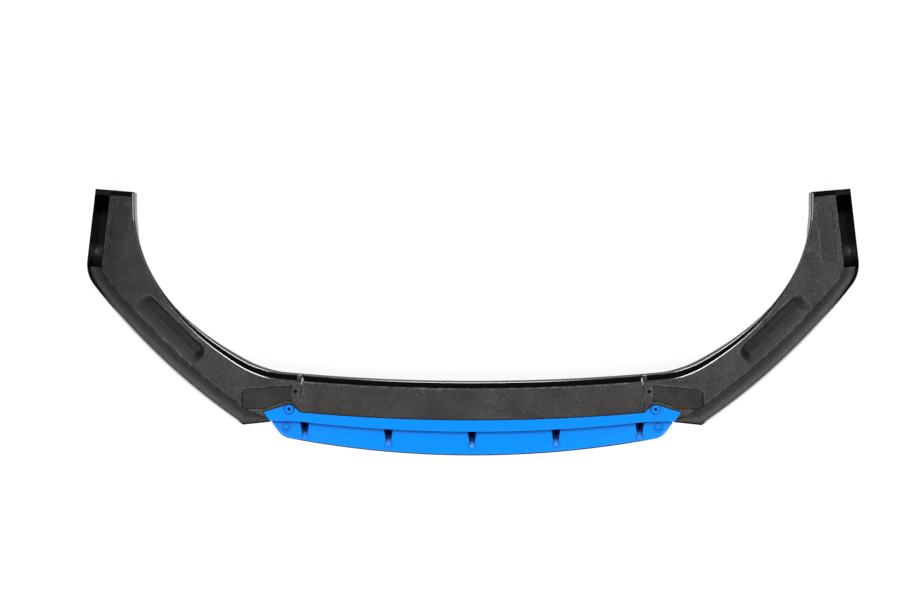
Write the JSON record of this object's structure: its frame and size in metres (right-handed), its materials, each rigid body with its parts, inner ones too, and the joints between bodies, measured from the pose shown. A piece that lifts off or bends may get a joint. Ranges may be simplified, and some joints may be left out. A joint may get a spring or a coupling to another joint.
{
  "type": "front splitter lip",
  "caption": "Moulded front splitter lip: two sweeping wings with hollow winglets, a centre section, and a front blade with hollow fins.",
  "frame": {"origin": "middle of the footprint, on the surface that the lip rests on with its hidden face up", "axes": "+X along the lip to one side, +Y from the front blade to the ends of the arms (rearward on the car), +Z out of the hidden face (down, towards the road, once fitted)"},
  "size_m": [1.7024, 0.588, 0.07],
  "materials": {
    "black_abs": "unpainted moulded black ABS on the hidden face, gloss black outside",
    "blue_abs": "bright blue gloss skin over black ABS, thin in the fins and bare on the front lip",
    "black_screws": "black-coated steel"
  },
  "bodies": {
    "root": {"left_wing": "black_abs", "centre_section": "black_abs", "right_wing": "black_abs", "front_blade": "blue_abs", "seam_screws": "black_screws", "blade_screws": "black_screws"}
  },
  "joints": []
}
